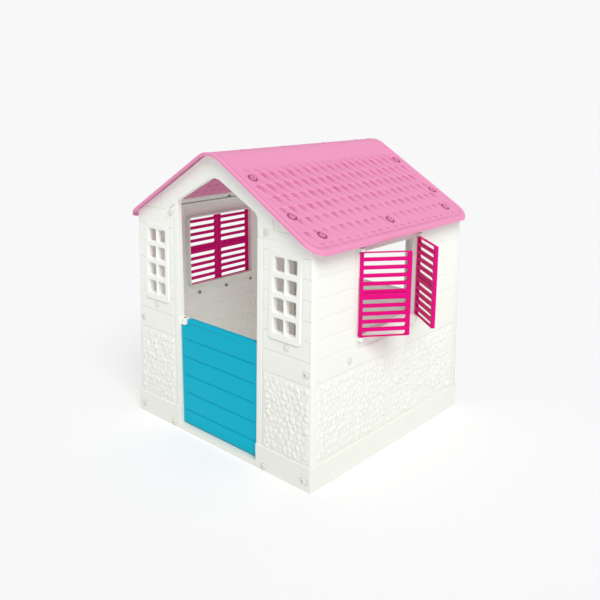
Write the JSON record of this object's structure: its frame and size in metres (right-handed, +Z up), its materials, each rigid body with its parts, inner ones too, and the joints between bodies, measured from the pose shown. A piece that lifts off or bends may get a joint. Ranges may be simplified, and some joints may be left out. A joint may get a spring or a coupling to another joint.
{
  "type": "plastic playhouse",
  "caption": "Children's playhouse of moulded plastic panels with barred windows, louvred shutters, a half door and a pitched tiled roof; door and shutters swing on pins.",
  "frame": {"origin": "on the floor under the doorway's threshold, on the house's middle plane, at the front wall's outer face", "axes": "+X to the right seen from the front, +Y from the front wall to the back, +Z up"},
  "size_m": [1.088, 0.9395, 1.0871],
  "materials": {
    "white_wall": "white moulded polyethylene with a fine satin grain",
    "pink_roof": "pink moulded polyethylene, satin",
    "blue_door": "cyan blue moulded polyethylene, satin",
    "magenta_shutter": "magenta moulded polypropylene, satin",
    "white_screw": "white plastic screw heads and plugs",
    "pink_bolt": "pink plastic bolt heads",
    "grey_nut": "dark grey plastic nuts",
    "hinge_pin": "plain steel pins"
  },
  "bodies": {
    "house": {"front_left_panel": "white_wall", "front_right_panel": "white_wall", "front_gable": "white_wall", "door_sill": "white_wall", "back_left_panel": "white_wall", "back_right_panel": "white_wall", "back_gable": "white_wall", "back_infill": "white_wall", "left_wall": "white_wall", "right_wall": "white_wall", "roof_left_half": "pink_roof", "roof_right_half": "pink_roof", "gable_screws_front": "white_screw", "gable_screws_back": "white_screw", "corner_screws_front": "white_screw", "corner_screws_back": "white_screw", "sill_screws": "white_screw", "infill_screws": "white_screw", "front_plugs": "white_screw", "back_plugs": "white_screw", "side_plugs_right": "white_screw", "side_plugs_left": "white_screw", "roof_bolts_right": "pink_bolt", "roof_bolts_left": "pink_bolt", "ridge_screws": "pink_bolt", "roof_nuts_right": "grey_nut", "roof_nuts_left": "grey_nut", "inner_bolts_right": "grey_nut", "inner_bolts_left": "grey_nut"},
    "door_leaf": {"door": "blue_door", "door_pins": "hinge_pin"},
    "shutter_right_front": {"right_front_shutter": "magenta_shutter", "right_front_shutter_pins": "hinge_pin"},
    "shutter_right_back": {"right_back_shutter": "magenta_shutter", "right_back_shutter_pins": "hinge_pin"},
    "shutter_left_front": {"left_front_shutter": "magenta_shutter", "left_front_shutter_pins": "hinge_pin"},
    "shutter_left_back": {"left_back_shutter": "magenta_shutter", "left_back_shutter_pins": "hinge_pin"}
  },
  "joints": [
    {"name": "door_hinge", "type": "hinge", "parent": "house", "child": "door_leaf", "pos_m": [-0.192, 0.011, 0.24], "axis": [0, 0, -1], "range_deg": [0, 95]},
    {"name": "right_front_hinge", "type": "hinge", "parent": "house", "child": "shutter_right_front", "pos_m": [0.459, 0.24, 0.622], "axis": [0, 0, -1], "range_deg": [-39, 131]},
    {"name": "right_back_hinge", "type": "hinge", "parent": "house", "child": "shutter_right_back", "pos_m": [0.459, 0.584, 0.622], "axis": [0, 0, 1], "range_deg": [-53, 117]},
    {"name": "left_front_hinge", "type": "hinge", "parent": "house", "child": "shutter_left_front", "pos_m": [-0.459, 0.24, 0.622], "axis": [0, 0, 1], "range_deg": [0, 170]},
    {"name": "left_back_hinge", "type": "hinge", "parent": "house", "child": "shutter_left_back", "pos_m": [-0.459, 0.584, 0.622], "axis": [0, 0, -1], "range_deg": [0, 170]}
  ]
}
